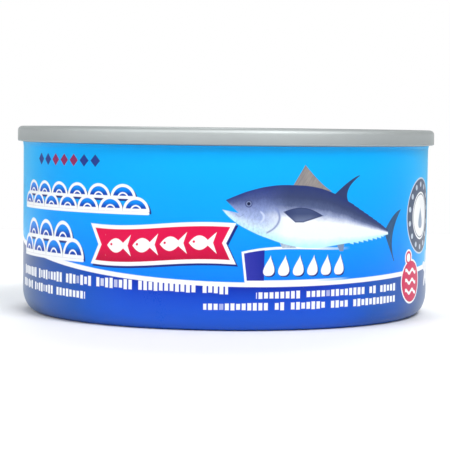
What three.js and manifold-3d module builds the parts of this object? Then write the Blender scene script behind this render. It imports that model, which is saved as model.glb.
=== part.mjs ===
// A shut tuna can: a drawn body with its contents, the easy-open end seamed on top of it,
// and the ring pull that the end's own rivet holds. Millimetres, +Z up. The origin is the
// middle of the base, on the surface the can stands on, and the front of the print faces -Y.
import * as THREE from "three";
import { mergeVertices } from "three/addons/utils/BufferGeometryUtils.js";
import Module from "manifold-3d";

// Driving sizes of the whole can.
const CAN_HEIGHT = 38;
const SEAM_DIAMETER = 86.8;
const BODY_DIAMETER = 84.4;
const CLEARANCE = 0.1; // between pieces that lie against each other
const TURN_STEPS = 80; // facets round the can

// Body: wall, rounded heel, standing ring and the pressed base panel inside it.
const HEEL_DEPTH = 2.8; // how far the rounded heel comes in from the wall
const HEEL_HEIGHT = 4.6;
const STAND_WIDTH = 2.8; // flat ring that touches the table
const BASE_RISE = 1.1; // base panel above the table
const BASE_STEP_RUN = 0.9; // sloping step from the standing ring up to the panel
const BASE_BEAD_RADII = [19.5, 30.1]; // rings pressed into the base so that it can flex
const BASE_BEAD_HEIGHT = 0.4;
const NECK_HEIGHT = 1.3; // top of the wall, where it turns out under the seam
const NECK_FLARE = 0.15;
const WALL_THICKNESS = 0.45; // of the lip that stands up inside the seam

// Easy-open end: double seam, chuck wall, countersink groove and panel.
const SEAM_HEIGHT = 3.1;
const SEAM_THICKNESS = 1.55;
const SEAM_TOP_RADIUS = 0.6;
const SEAM_FOOT_RADIUS = 0.5;
const CHUCK_WALL_LEAN = 0.5; // how far the chuck wall comes in on its way down
const GROOVE_DEPTH = 5.3; // countersink groove below the top of the seam
const GROOVE_RADIUS = 0.5;
const PANEL_DEPTH = 4.4; // panel's edge below the top of the seam
const PANEL_EDGE_RADIUS = 0.4;
const PANEL_STEP_DEPTH = 0.5; // the middle of the panel is pressed this much lower
const PANEL_STEP_RADIUS = 37.8;
const PANEL_STEP_RUN = 0.5;
const PANEL_BEAD_RADIUS = 26.8;
const PANEL_BEAD_HEIGHT = 0.35;
const BEAD_WIDTH = 1.8;
const BEAD_SLOPE = 0.5; // run of each sloping side of a bead
const SCORE_RADIUS = 39.2; // the line along which the end tears open
const SCORE_WIDTH = 0.3;
const SCORE_DEPTH = 0.12;
const END_UNDERSIDE_DEPTH = 6.1; // flat underside, lying on the contents

// Rivet, drawn up out of the panel, and the finger well pressed beside it.
const RIVET_Y = 33;
const BOSS_RADIUS = 3.9;
const BOSS_TOP_RADIUS = 3.3;
const RIVET_SHANK_RADIUS = 1.6;
const RIVET_HEAD_RADIUS = 2.7;
const RIVET_HEAD_HEIGHT = 0.6;
const WELL_Y = 14.5;
const WELL_HALF_WIDTH = 9.5;
const WELL_HALF_LENGTH = 9;
const WELL_DEPTH = 0.75;
const ROUND_STEPS = 28; // facets round the small round pieces

// Ring pull: a nose circle and a larger ring circle, joined by straight sides.
const PULL_UNDERSIDE_DEPTH = 4.3; // below the top of the seam
const PULL_THICKNESS = 1.3;
const PULL_EDGE_RADIUS = 0.45;
const NOSE_RADIUS = 6;
const NOSE_CENTRE = -0.6; // along the pull, from the rivet
const RING_RADIUS = 8;
const RING_CENTRE = -13.1;
const HOLE_HALF_WIDTH = 5.9;
const HOLE_HALF_LENGTH = 5.2;
const HOLE_CENTRE = -13.4;
const ISLAND_RADIUS = 4; // sunk tongue that the rivet holds
const ISLAND_THICKNESS = 0.5;
const RIVET_HOLE_RADIUS = 1.9;

const seamRadius = SEAM_DIAMETER / 2;
const bodyRadius = BODY_DIAMETER / 2;
const seamFoot = CAN_HEIGHT - SEAM_HEIGHT;
const endUnderside = CAN_HEIGHT - END_UNDERSIDE_DEPTH;
const panelEdge = CAN_HEIGHT - PANEL_DEPTH;
const panelMiddle = panelEdge - PANEL_STEP_DEPTH;
const pullUnderside = CAN_HEIGHT - PULL_UNDERSIDE_DEPTH;
const neckRadius = bodyRadius + NECK_FLARE;
const lipRadius = neckRadius - WALL_THICKNESS;

const wasm = await Module();
wasm.setup();

const point = (r, z) => new THREE.Vector2(r, z);

// Points along a quarter or half ellipse, from one angle to another in degrees.
function arc(centreR, centreZ, radiusR, radiusZ, from, to, steps) {
  return Array.from({ length: steps + 1 }, (_, i) => {
    const angle = THREE.MathUtils.degToRad(from + ((to - from) * i) / steps);
    return point(centreR + radiusR * Math.cos(angle), centreZ + radiusZ * Math.sin(angle));
  });
}

// A ring pressed out of a flat panel, met on the way inwards: down to up to down again.
function bead(radius, panelZ, height) {
  const half = BEAD_WIDTH / 2;
  return [
    point(radius + half, panelZ),
    point(radius + half - BEAD_SLOPE, panelZ + height),
    point(radius - half + BEAD_SLOPE, panelZ + height),
    point(radius - half, panelZ),
  ];
}

// Turns a profile of radius and height round the upright axis.
function turned(profile, steps) {
  return new THREE.LatheGeometry(profile, steps).rotateX(Math.PI / 2);
}

// A closed geometry as a solid that can be joined and cut.
function solid(geometry) {
  const bare = geometry.clone();
  bare.deleteAttribute("normal");
  bare.deleteAttribute("uv");
  const merged = mergeVertices(bare, 1e-4);
  return new wasm.Manifold(
    new wasm.Mesh({
      numProp: 3,
      vertProperties: merged.attributes.position.array,
      triVerts: new Uint32Array(merged.index.array),
    }),
  );
}

function geometryOf(made) {
  const { vertProperties, triVerts } = made.getMesh();
  const geometry = new THREE.BufferGeometry();
  geometry.setAttribute("position", new THREE.BufferAttribute(vertProperties, 3));
  geometry.setIndex(new THREE.BufferAttribute(triVerts, 1));
  geometry.computeVertexNormals();
  return geometry;
}

function named(name, geometry, color, roughness, metalness) {
  const material = new THREE.MeshStandardMaterial({ color, roughness, metalness });
  const mesh = new THREE.Mesh(geometry, material);
  mesh.name = name;
  return mesh;
}

// The drawn steel body and the fish packed in it, as one solid: the can is shut.
function canBody() {
  const standRadius = bodyRadius - HEEL_DEPTH;
  const standInside = standRadius - STAND_WIDTH;
  const outline = [
    point(0, endUnderside - CLEARANCE),
    point(lipRadius, endUnderside - CLEARANCE),
    point(lipRadius, seamFoot - CLEARANCE),
    point(neckRadius, seamFoot - CLEARANCE),
    point(bodyRadius, seamFoot - NECK_HEIGHT),
    ...arc(standRadius, HEEL_HEIGHT, HEEL_DEPTH, HEEL_HEIGHT, 0, -90, 8),
    point(standInside, 0),
    point(standInside - BASE_STEP_RUN, BASE_RISE),
    ...[...BASE_BEAD_RADII].reverse().flatMap((r) => bead(r, BASE_RISE, BASE_BEAD_HEIGHT)),
    point(0, BASE_RISE),
  ];
  return turned(outline.reverse(), TURN_STEPS);
}

// Section of the end: its underside, the seam over the body's lip, and the panel.
function endPlate() {
  const chuckTop = seamRadius - SEAM_THICKNESS;
  const chuckFoot = chuckTop - CHUCK_WALL_LEAN;
  const grooveZ = CAN_HEIGHT - GROOVE_DEPTH + GROOVE_RADIUS;
  const grooveR = chuckFoot - GROOVE_RADIUS;
  const panelCornerR = grooveR - GROOVE_RADIUS - PANEL_EDGE_RADIUS;
  const crest = CAN_HEIGHT - SEAM_TOP_RADIUS;
  const outline = [
    point(0, endUnderside),
    point(lipRadius - CLEARANCE, endUnderside),
    point(lipRadius - CLEARANCE, seamFoot),
    ...arc(seamRadius - SEAM_FOOT_RADIUS, seamFoot + SEAM_FOOT_RADIUS,
      SEAM_FOOT_RADIUS, SEAM_FOOT_RADIUS, -90, 0, 3),
    ...arc(seamRadius - SEAM_TOP_RADIUS, crest, SEAM_TOP_RADIUS, SEAM_TOP_RADIUS, 0, 90, 4),
    ...arc(chuckTop + SEAM_TOP_RADIUS, crest, SEAM_TOP_RADIUS, SEAM_TOP_RADIUS, 90, 180, 4),
    ...arc(grooveR, grooveZ, GROOVE_RADIUS, GROOVE_RADIUS, 0, -180, 6),
    ...arc(panelCornerR, panelEdge - PANEL_EDGE_RADIUS,
      PANEL_EDGE_RADIUS, PANEL_EDGE_RADIUS, 0, 90, 3),
    point(SCORE_RADIUS + SCORE_WIDTH / 2, panelEdge),
    point(SCORE_RADIUS, panelEdge - SCORE_DEPTH),
    point(SCORE_RADIUS - SCORE_WIDTH / 2, panelEdge),
    point(PANEL_STEP_RADIUS, panelEdge),
    point(PANEL_STEP_RADIUS - PANEL_STEP_RUN, panelMiddle),
    ...bead(PANEL_BEAD_RADIUS, panelMiddle, PANEL_BEAD_HEIGHT),
    point(0, panelMiddle),
  ];
  return turned(outline, TURN_STEPS);
}

// The boss under the pull, the rivet's shank through it and the flattened head on top.
function rivet() {
  const bossTop = pullUnderside - CLEARANCE;
  const headFoot = pullUnderside + ISLAND_THICKNESS + CLEARANCE;
  const headTop = headFoot + RIVET_HEAD_HEIGHT;
  const rooted = panelMiddle - PANEL_STEP_DEPTH; // below the panel, so that the two join
  const outline = [
    point(0, rooted),
    point(BOSS_RADIUS, rooted),
    point(BOSS_RADIUS, panelMiddle),
    point(BOSS_TOP_RADIUS, bossTop),
    point(RIVET_SHANK_RADIUS, bossTop),
    point(RIVET_SHANK_RADIUS, headFoot),
    point(RIVET_HEAD_RADIUS - RIVET_HEAD_HEIGHT / 2, headFoot),
    point(RIVET_HEAD_RADIUS, headFoot + RIVET_HEAD_HEIGHT / 3),
    point(RIVET_HEAD_RADIUS - RIVET_HEAD_HEIGHT / 3, headTop - RIVET_HEAD_HEIGHT / 6),
    point(RIVET_HEAD_RADIUS - RIVET_HEAD_HEIGHT, headTop),
    point(0, headTop),
  ];
  return turned(outline, ROUND_STEPS).translate(0, RIVET_Y, 0);
}

function fingerWell() {
  return new THREE.SphereGeometry(1, ROUND_STEPS, 14)
    .rotateX(Math.PI / 2)
    .scale(WELL_HALF_WIDTH, WELL_HALF_LENGTH, WELL_DEPTH)
    .translate(0, WELL_Y, panelMiddle);
}

function easyOpenEnd() {
  const made = solid(endPlate()).subtract(solid(fingerWell())).add(solid(rivet()));
  return geometryOf(made);
}

// Outline of the pull, drawn round the rivet with the nose towards +Y.
function pullOutline(inset) {
  const lean = Math.asin((RING_RADIUS - NOSE_RADIUS) / (NOSE_CENTRE - RING_CENTRE));
  const shape = new THREE.Shape();
  shape.absarc(0, NOSE_CENTRE, NOSE_RADIUS - inset, lean, Math.PI - lean, false);
  shape.absarc(0, RING_CENTRE, RING_RADIUS - inset, Math.PI - lean, 2 * Math.PI + lean, false);
  const hole = new THREE.Path();
  hole.absellipse(0, HOLE_CENTRE, HOLE_HALF_WIDTH + inset, HOLE_HALF_LENGTH + inset,
    0, 2 * Math.PI, true);
  shape.holes.push(hole);
  return shape;
}

function ringPull() {
  const blank = new THREE.ExtrudeGeometry(pullOutline(PULL_EDGE_RADIUS), {
    depth: PULL_THICKNESS - 2 * PULL_EDGE_RADIUS,
    bevelThickness: PULL_EDGE_RADIUS,
    bevelSize: PULL_EDGE_RADIUS,
    bevelSegments: 3,
    curveSegments: 14,
  }).translate(0, 0, PULL_EDGE_RADIUS);
  const pocket = new THREE.CylinderGeometry(ISLAND_RADIUS, ISLAND_RADIUS, PULL_THICKNESS, ROUND_STEPS)
    .rotateX(Math.PI / 2)
    .translate(0, 0, ISLAND_THICKNESS + PULL_THICKNESS / 2);
  const rivetHole = new THREE.CylinderGeometry(
    RIVET_HOLE_RADIUS, RIVET_HOLE_RADIUS, 3 * PULL_THICKNESS, ROUND_STEPS,
  ).rotateX(Math.PI / 2);
  return geometryOf(solid(blank).subtract(solid(pocket)).subtract(solid(rivetHole)));
}

const can = new THREE.Group();
can.add(named("can_body", canBody(), 0x0a6fd8, 0.3, 0.1));
can.add(named("easy_open_end", easyOpenEnd(), 0xa9b0b1, 0.4, 1));
const pull = named("ring_pull", ringPull(), 0xb9bfc0, 0.35, 1);
pull.position.set(0, RIVET_Y, pullUnderside);
can.add(pull);

export default can;
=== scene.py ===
import math

import bmesh
import bpy
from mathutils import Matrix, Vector


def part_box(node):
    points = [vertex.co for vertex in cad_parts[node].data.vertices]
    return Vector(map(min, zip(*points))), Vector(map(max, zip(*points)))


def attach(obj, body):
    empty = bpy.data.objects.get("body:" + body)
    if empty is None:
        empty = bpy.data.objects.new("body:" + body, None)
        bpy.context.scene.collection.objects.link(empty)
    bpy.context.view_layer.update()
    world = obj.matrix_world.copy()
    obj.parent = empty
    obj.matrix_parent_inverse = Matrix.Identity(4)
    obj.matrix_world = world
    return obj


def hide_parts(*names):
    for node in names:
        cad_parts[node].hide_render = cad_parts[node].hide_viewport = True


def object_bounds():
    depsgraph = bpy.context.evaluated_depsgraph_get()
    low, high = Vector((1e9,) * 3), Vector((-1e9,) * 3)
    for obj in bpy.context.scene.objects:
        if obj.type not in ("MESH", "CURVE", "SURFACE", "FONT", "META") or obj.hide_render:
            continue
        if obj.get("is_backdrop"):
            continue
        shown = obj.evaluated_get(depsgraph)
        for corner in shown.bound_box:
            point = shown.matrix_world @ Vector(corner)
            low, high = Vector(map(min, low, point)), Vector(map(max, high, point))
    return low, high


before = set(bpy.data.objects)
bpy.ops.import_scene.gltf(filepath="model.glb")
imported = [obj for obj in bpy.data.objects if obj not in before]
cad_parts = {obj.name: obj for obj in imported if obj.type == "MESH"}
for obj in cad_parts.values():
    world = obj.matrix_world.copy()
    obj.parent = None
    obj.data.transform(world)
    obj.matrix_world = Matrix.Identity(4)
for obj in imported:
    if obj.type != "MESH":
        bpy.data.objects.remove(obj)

cad_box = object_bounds()

# Camera
# It stands 365 mm from the can's axis and a little above the seam, looks slightly down, and
# is rolled by less than a degree, as in the photograph.
CAMERA_DISTANCE = 0.3645
CAMERA_HEIGHT = 0.03917
CAMERA_DOWN = math.degrees(0.0591)
CAMERA_ROLL = math.degrees(0.0117)
SENSOR_WIDTH = 36
PICTURE_WIDTH = 450
FOCAL_PIXELS = 1733.56

camera = bpy.data.objects.new("camera", bpy.data.cameras.new("camera"))
camera.data.sensor_width = SENSOR_WIDTH
camera.data.lens = SENSOR_WIDTH * FOCAL_PIXELS / PICTURE_WIDTH
camera.data.clip_start = 0.01
camera.data.clip_end = 50
camera.location = (0, -CAMERA_DISTANCE, CAMERA_HEIGHT)
camera.rotation_mode = "ZYX"
camera.rotation_euler = (math.radians(90 - CAMERA_DOWN), 0, math.radians(CAMERA_ROLL))
bpy.context.collection.objects.link(camera)
bpy.context.scene.camera = camera
bpy.context.scene.view_settings.view_transform = "Standard"

# Light
# A white studio, brighter behind the can than behind the camera. Two soft boxes light the
# front of the print and the seam, and a third one lights the table behind the can.
STUDIO_FRONT = 0.3
STUDIO_BACK = 0.5
STUDIO_SEEN = 1.0
STUDIO_TURN = (-0.1, 0.8)
SOFT_BOXES = {
    "key_box": {"at": (0.42, -0.66, 0.95), "size": 0.6, "watts": 10.5, "mirrored": True},
    "fill_box": {"at": (-0.70, -0.55, 0.70), "size": 0.6, "watts": 4.5, "mirrored": True},
    "back_box": {"at": (0.10, 1.10, 0.80), "size": 1.0, "watts": 14.0, "mirrored": False},
}

world = bpy.data.worlds.new("studio")
bpy.context.scene.world = world
world.use_nodes = True
studio = world.node_tree.nodes["Background"]
studio.inputs["Color"].default_value = (1, 1, 1, 1)


def studio_node(kind, values):
    made = world.node_tree.nodes.new("ShaderNode" + kind)
    for name, value in values.items():
        if isinstance(value, bpy.types.NodeSocket):
            world.node_tree.links.new(value, made.inputs[name])
        else:
            made.inputs[name].default_value = value
    return made.outputs


towards = studio_node("TexCoord", {})["Generated"]
backwards = studio_node("SeparateXYZ", {"Vector": towards})["Y"]
lit = studio_node("MapRange", {
    "Value": backwards, "From Min": STUDIO_TURN[0], "From Max": STUDIO_TURN[1],
    "To Min": STUDIO_FRONT, "To Max": STUDIO_BACK,
})["Result"]
seen = studio_node("LightPath", {})["Is Camera Ray"]
strength = studio_node("MapRange", {"Value": seen, "To Min": lit, "To Max": STUDIO_SEEN})["Result"]
world.node_tree.links.new(strength, studio.inputs["Strength"])


def soft_box(name, at, size, watts, mirrored):
    lamp = bpy.data.objects.new(name, bpy.data.lights.new(name, "AREA"))
    lamp.data.size = size
    lamp.data.energy = watts
    lamp.visible_glossy = mirrored
    lamp.location = at
    lamp.rotation_euler = (-Vector(at)).to_track_quat("-Z", "Y").to_euler()
    bpy.context.collection.objects.link(lamp)


for name, sizes in SOFT_BOXES.items():
    soft_box(name, **sizes)

# Table
# A pale matt table top that the can stands on. Wire, Finish, linear and finished serve every
# piece: Wire is one output of a material's nodes, so that shading is written as plain sums.
TABLE_SIZE = 0.5
SHARP_ANGLE = 40


class Wire:
    def __init__(self, finish, socket):
        self.finish = finish
        self.socket = socket

    def __add__(self, other):
        return self.finish.math("ADD", self, other)

    def __sub__(self, other):
        return self.finish.math("SUBTRACT", self, other)

    def __rsub__(self, other):
        return self.finish.math("SUBTRACT", other, self)

    def __mul__(self, other):
        return self.finish.math("MULTIPLY", self, other)

    def __truediv__(self, other):
        return self.finish.math("DIVIDE", self, other)

    def __pow__(self, other):
        return self.finish.math("POWER", self, other)

    def __mod__(self, other):
        return self.finish.math("FLOORED_MODULO", self, other)

    def __and__(self, other):
        return self.finish.math("MINIMUM", self, other)

    def __or__(self, other):
        return self.finish.math("MAXIMUM", self, other)

    def __gt__(self, other):
        return self.finish.math("GREATER_THAN", self, other)

    def __lt__(self, other):
        return self.finish.math("LESS_THAN", self, other)

    def __neg__(self):
        return self.finish.math("MULTIPLY", self, -1)

    def __abs__(self):
        return self.finish.math("ABSOLUTE", self)

    __radd__ = __add__
    __rmul__ = __mul__


class Finish:
    """One material, and the nodes that it is made of."""

    def __init__(self, name):
        self.material = bpy.data.materials.new(name)
        self.material.use_nodes = True
        self.tree = self.material.node_tree
        self.tree.nodes.clear()

    def node(self, kind, settings, values):
        made = self.tree.nodes.new("ShaderNode" + kind)
        for key, value in settings.items():
            if key == "stops":
                self.set_stops(made.color_ramp.elements, value)
            elif key == "points":
                self.set_points(made.mapping, value)
            else:
                setattr(made, key, value)
        sockets = [s for s in made.inputs if s.enabled]
        by_name = {s.name: s for s in reversed(sockets)}
        for key, value in values.items():
            socket = sockets[key] if isinstance(key, int) else by_name[key]
            if isinstance(value, Wire):
                self.tree.links.new(value.socket, socket)
            elif isinstance(value, tuple) and socket.type == "RGBA":
                socket.default_value = (*value, 1)
            else:
                socket.default_value = value
        return {s.name: Wire(self, s) for s in made.outputs if s.enabled}

    @staticmethod
    def set_stops(elements, stops):
        while len(elements) < len(stops):
            elements.new(1)
        for element, (place, colour) in zip(elements, stops):
            element.position = place
            element.color = (*colour, 1)

    @staticmethod
    def set_points(mapping, points):
        curve = mapping.curves[0].points
        while len(curve) < len(points):
            curve.new(1, 1)
        for spot, place in zip(curve, points):
            spot.location = place
        mapping.update()

    def math(self, operation, *terms):
        return self.node("Math", {"operation": operation}, dict(enumerate(terms)))["Value"]

    def fade(self, amount, start, stop):
        """0 where the amount is at the start, 1 at the stop, and even steps between."""
        values = {"Value": amount, "From Min": start, "From Max": stop}
        return self.node("MapRange", {}, values)["Result"]

    def mix(self, amount, under, over):
        values = {"Factor": amount, "A": under, "B": over}
        return self.node("Mix", {"data_type": "RGBA"}, values)["Result"]

    def vector(self, x, y, z):
        return self.node("CombineXYZ", {}, {"X": x, "Y": y, "Z": z})["Vector"]

    def noise(self, where, scale, detail=2.0, roughness=0.5):
        values = {"Vector": where, "Scale": scale, "Detail": detail, "Roughness": roughness}
        return self.node("TexNoise", {}, values)["Fac"]

    def place(self):
        """Millimetres from the can's origin, as a vector and its three parts."""
        seen = self.node("TexCoord", {}, {})["Object"]
        settings = {"operation": "SCALE"}
        where = self.node("VectorMath", settings, {"Vector": seen, "Scale": 1000.0})["Vector"]
        parts = self.node("SeparateXYZ", {}, {"Vector": where})
        return where, parts["X"], parts["Y"], parts["Z"]

    def bump(self, height, distance, strength):
        values = {"Height": height, "Distance": distance, "Strength": strength}
        return self.node("Bump", {}, values)["Normal"]

    def shade(self, **values):
        """The surface's shader, by its sockets' names in lower case."""
        named = {key.replace("_", " ").title(): value for key, value in values.items()}
        if "Specular Ior Level" in named:
            named["Specular IOR Level"] = named.pop("Specular Ior Level")
        shader = self.node("BsdfPrincipled", {}, named)["BSDF"]
        self.node("OutputMaterial", {}, {"Surface": shader})


def linear(red, green, blue):
    """A colour as seen, 0 to 255, as the light that it gives back."""
    return tuple(
        c / 255 / 12.92 if c <= 10 else ((c / 255 + 0.055) / 1.055) ** 2.4
        for c in (red, green, blue)
    )


def finished(name, mesh, finish):
    """The mesh in hand as an object of its own, smooth where its faces meet gently."""
    bmesh.ops.recalc_face_normals(mesh, faces=mesh.faces)
    data = bpy.data.meshes.new(name)
    mesh.to_mesh(data)
    mesh.free()
    data.materials.append(finish.material)
    data.shade_smooth()
    data.set_sharp_from_angle(angle=math.radians(SHARP_ANGLE))
    made = bpy.data.objects.new(name, data)
    bpy.context.collection.objects.link(made)
    return made


table_top = Finish("table_top")
table_top.shade(base_color=(0.86, 0.86, 0.86), roughness=0.9, specular_ior_level=0.0)
table_mesh = bmesh.new()
bmesh.ops.create_grid(table_mesh, x_segments=1, y_segments=1, size=TABLE_SIZE / 2)
table = finished("table", table_mesh, table_top)
table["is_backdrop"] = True

# Printed body
# Drawn steel with a rounded heel and a pressed base, printed and lacquered as flat sheet
# before it is drawn. Its top edge is rolled into the end's seam. The can is shut, so one solid
# stands for the metal with its contents.
MM = 0.001
TURN_STEPS = 256
BODY_RADIUS = 42.2
HEEL_DEPTH = 2.8
HEEL_HEIGHT = 4.6
STAND_WIDTH = 2.8
STAND_ROUND = 0.3
BASE_RISE = 1.1
BASE_STEP_RUN = 0.9
BASE_STEP_ROUND = 0.2
BASE_BEAD_RADII = (30.1, 19.5)
BASE_BEAD_HEIGHT = 0.4
BEAD_WIDTH = 1.8
NECK_HEIGHT = 1.3
LIP_THICKNESS = 0.45
CONTENTS_TOP = 31.8
body_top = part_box("can_body")[1].z / MM
neck_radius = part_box("can_body")[1].x / MM
stand_radius = BODY_RADIUS - HEEL_DEPTH
stand_inside = stand_radius - STAND_WIDTH


def arc(centre_r, centre_z, radius_r, radius_z, start, stop, steps):
    """Points along an ellipse, by angles in degrees, without the first one."""
    turns = [math.radians(start + (stop - start) * i / steps) for i in range(1, steps + 1)]
    return [(centre_r + radius_r * math.cos(a), centre_z + radius_z * math.sin(a)) for a in turns]


def slope(start, stop, steps):
    """Points from start to stop, level at both ends."""
    spots = [i / steps for i in range(steps + 1)]
    rises = [0.5 - 0.5 * math.cos(math.pi * t) for t in spots]
    return [
        (start[0] + (stop[0] - start[0]) * t, start[1] + (stop[1] - start[1]) * rise)
        for t, rise in zip(spots, rises)
    ]


def bead(radius, z, height):
    """A smooth ring pressed out of a flat panel, met on the way inwards."""
    crest = (radius, z + height)
    outside = slope((radius + BEAD_WIDTH / 2, z), crest, 4)
    return outside + slope(crest, (radius - BEAD_WIDTH / 2, z), 4)[1:]


def turned(outline, steps, centre=(0, 0)):
    """A closed solid, from an outline of radius and height that starts and ends on the axis.
    Every vertex keeps how far along the outline it lies."""
    mesh = bmesh.new()
    run = mesh.verts.layers.float.new("run")
    corners = [mesh.verts.new((r * MM, 0, z * MM)) for r, z in outline]
    gone = 0.0
    for here, after in zip(corners, corners[1:]):
        mesh.edges.new((here, after))
        gone += (after.co - here.co).length / MM
        after[run] = gone
    bmesh.ops.spin(
        mesh, geom=mesh.verts[:] + mesh.edges[:], cent=(0, 0, 0), axis=(0, 0, 1),
        angle=2 * math.pi, steps=steps, use_merge=True,
    )
    bmesh.ops.remove_doubles(mesh, verts=mesh.verts, dist=1e-7)
    bmesh.ops.dissolve_degenerate(mesh, edges=mesh.edges, dist=1e-8)
    bmesh.ops.translate(mesh, verts=mesh.verts, vec=(centre[0] * MM, centre[1] * MM, 0))
    return mesh


lip_radius = neck_radius - LIP_THICKNESS
base_corner = stand_inside - BASE_STEP_RUN
body_mesh = turned([
    (0, CONTENTS_TOP),
    (lip_radius, CONTENTS_TOP),
    (lip_radius, body_top),
    (neck_radius, body_top),
    *[
        (BODY_RADIUS + (neck_radius - BODY_RADIUS) * (1 - t) ** 2, body_top - NECK_HEIGHT * t)
        for t in (0.2, 0.4, 0.6, 0.8, 1.0)
    ],
    (BODY_RADIUS, (body_top + HEEL_HEIGHT) / 2),
    (BODY_RADIUS, HEEL_HEIGHT),
    *arc(stand_radius, HEEL_HEIGHT, HEEL_DEPTH, HEEL_HEIGHT, 0, -90, 20),
    (stand_inside + STAND_ROUND, 0),
    *arc(stand_inside + STAND_ROUND, STAND_ROUND, STAND_ROUND, STAND_ROUND, -90, -140, 3),
    (base_corner + BASE_STEP_ROUND, BASE_RISE - BASE_STEP_ROUND),
    (base_corner, BASE_RISE),
    *[spot for radius in BASE_BEAD_RADII for spot in bead(radius, BASE_RISE, BASE_BEAD_HEIGHT)],
    (0, BASE_RISE),
], TURN_STEPS)

# The print's map: the wall lies in three strips, with the two flat sides beside them.
STRIPS = 3
WALL_SCALE = 0.0085
DISC_SCALE = 0.0024
STRIP_MIDDLE = 0.385
STRIP_MARGIN = 0.005
TOP_DISC = (0.885, 0.25)
BASE_DISC = (0.885, 0.75)


def lay_out(mesh):
    run = mesh.verts.layers.float["run"]
    bake_map = mesh.loops.layers.uv.new("OFBake")
    whole = max(vert[run] for vert in mesh.verts)
    wall_start = lip_radius + body_top - CONTENTS_TOP + LIP_THICKNESS
    wall_stop = whole - stand_inside - 2 * STAND_ROUND
    strip_turn = 2 * math.pi / STRIPS
    for face in mesh.faces:
        middle = face.calc_center_median()
        side = math.atan2(middle.x, -middle.y)
        strip = math.floor(side / strip_turn + STRIPS / 2)
        gone = sum(vert[run] for vert in face.verts) / len(face.verts)
        for corner in face.loops:
            x, y, _ = corner.vert.co
            turn = side + (math.atan2(x, -y) - side + math.pi) % (2 * math.pi) - math.pi
            reached = corner.vert[run]
            if wall_start < gone < wall_stop:
                along = turn - (strip - STRIPS // 2) * strip_turn
                foot = strip / STRIPS + STRIP_MARGIN
                u = STRIP_MIDDLE + along * BODY_RADIUS * WALL_SCALE
                v = foot + (reached - wall_start) * WALL_SCALE
            else:
                on_top = gone <= wall_start
                centre = TOP_DISC if on_top else BASE_DISC
                out = (reached if on_top else whole - reached) * DISC_SCALE
                u = centre[0] + out * math.sin(turn)
                v = centre[1] + out * math.cos(turn)
            corner[bake_map].uv = (u, v)


lay_out(body_mesh)

# The print is laid field by field. Across is the way round the wall from the middle of the
# front and up is the height, both in millimetres, and so are all its places.
EDGE_SOFTNESS = 0.12
DROP_REACH = 0.97
WHITE = linear(253, 255, 255)
NAVY = linear(28, 36, 120)
AZURE = linear(2, 160, 255)

ink = Finish("printed_steel")
where, px, py, up = ink.place()
front_turn = ink.math("ARCTAN2", px, -py)
across = front_turn * BODY_RADIUS


def lay(under, distance, over, softness=EDGE_SOFTNESS):
    """Prints one more field, where the distance to its outline is negative."""
    return ink.mix(ink.fade(distance, softness / 2, -softness / 2), under, over)


def ramp(amount, *stops):
    """Colours that pass into each other, each with the amount where it is reached."""
    return ink.node("ValToRGB", {"stops": stops}, {"Fac": amount})["Color"]


def reach(u, v):
    return (u * u + v * v) ** 0.5


def block(u, v, half_width, half_height):
    return (abs(u) - half_width) | (abs(v) - half_height)


def card(u, v, half_width, half_height, radius):
    """A block with round corners."""
    past_side = (abs(u) - (half_width - radius)) | 0.0
    past_top = (abs(v) - (half_height - radius)) | 0.0
    return reach(past_side, past_top) - radius


def drop(u, v, half_width, half_height):
    """A drop with its point up. It stops just short of its ends, where its girth is nothing."""
    rise = v / half_height
    girth = (1 - rise) * ((1 - rise * rise) | 0.0) ** 0.5 * half_width
    return (abs(u) - girth) | (abs(rise) - DROP_REACH)


def left_of(start, stop):
    """How far a point lies to the left of the straight way from start to stop."""
    run_u = stop[0] - start[0]
    run_v = stop[1] - start[1]
    length = math.hypot(run_u, run_v)
    return (up - start[1]) * (run_u / length) - (across - start[0]) * (run_v / length)


def chance(amount):
    """A number from 0 to 1 that is the same wherever the amount is."""
    return ink.node("TexWhiteNoise", {"noise_dimensions": "1D"}, {"W": amount})["Value"]


# The white swoosh parts the azure field from the royal blue one. It dips in front and climbs
# towards the back. Away from the front a painted reflection lightens the azure, and painted
# shade with a painted grey reflection turns the royal blue to slate.
SWOOSH_DIP = {"turn": 0.19, "height": 9.35}
SWOOSH_CLIMB = 4.2
SWOOSH_LEAN = 1.7
SWOOSH_WIDTH = 0.85
SWOOSH_WIDENING = 0.2
SKY_FOOT = 9
SKY_TOP = 31
SKY = (
    (0.0, linear(0, 128, 255)), (0.3, linear(0, 148, 255)), (0.6, linear(2, 164, 255)),
    (1.0, linear(4, 176, 255)),
)
# Painted reflection: the azure lightens towards the sides and the back.
SKY_PAINTED_REFLECTION = linear(14, 198, 255)
SKY_PAINTED_REFLECTION_START = 40
SKY_PAINTED_REFLECTION_STOP = 60
SEA_DEPTH = 10
SEA = (
    (0.0, linear(6, 44, 172)), (0.25, linear(18, 72, 200)), (0.7, linear(34, 94, 214)),
    (1.0, linear(40, 96, 190)),
)
# Painted shade and painted grey reflection: the royal blue turns to slate towards the sides and
# the back.
SEA_PAINTED_SHADE = (
    (0.0, linear(30, 92, 210)), (0.25, linear(22, 88, 188)), (0.36, linear(30, 88, 176)),
    (0.55, linear(44, 91, 168)), (0.75, linear(62, 96, 146)), (1.0, linear(88, 114, 146)),
)
SEA_PAINTED_SHADE_START = 18
SEA_PAINTED_SHADE_FULL = 32
SEA_PAINTED_SHADE_STOP = 58
SEA_PAINTED_SHADE_SHARE = 0.9

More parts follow.
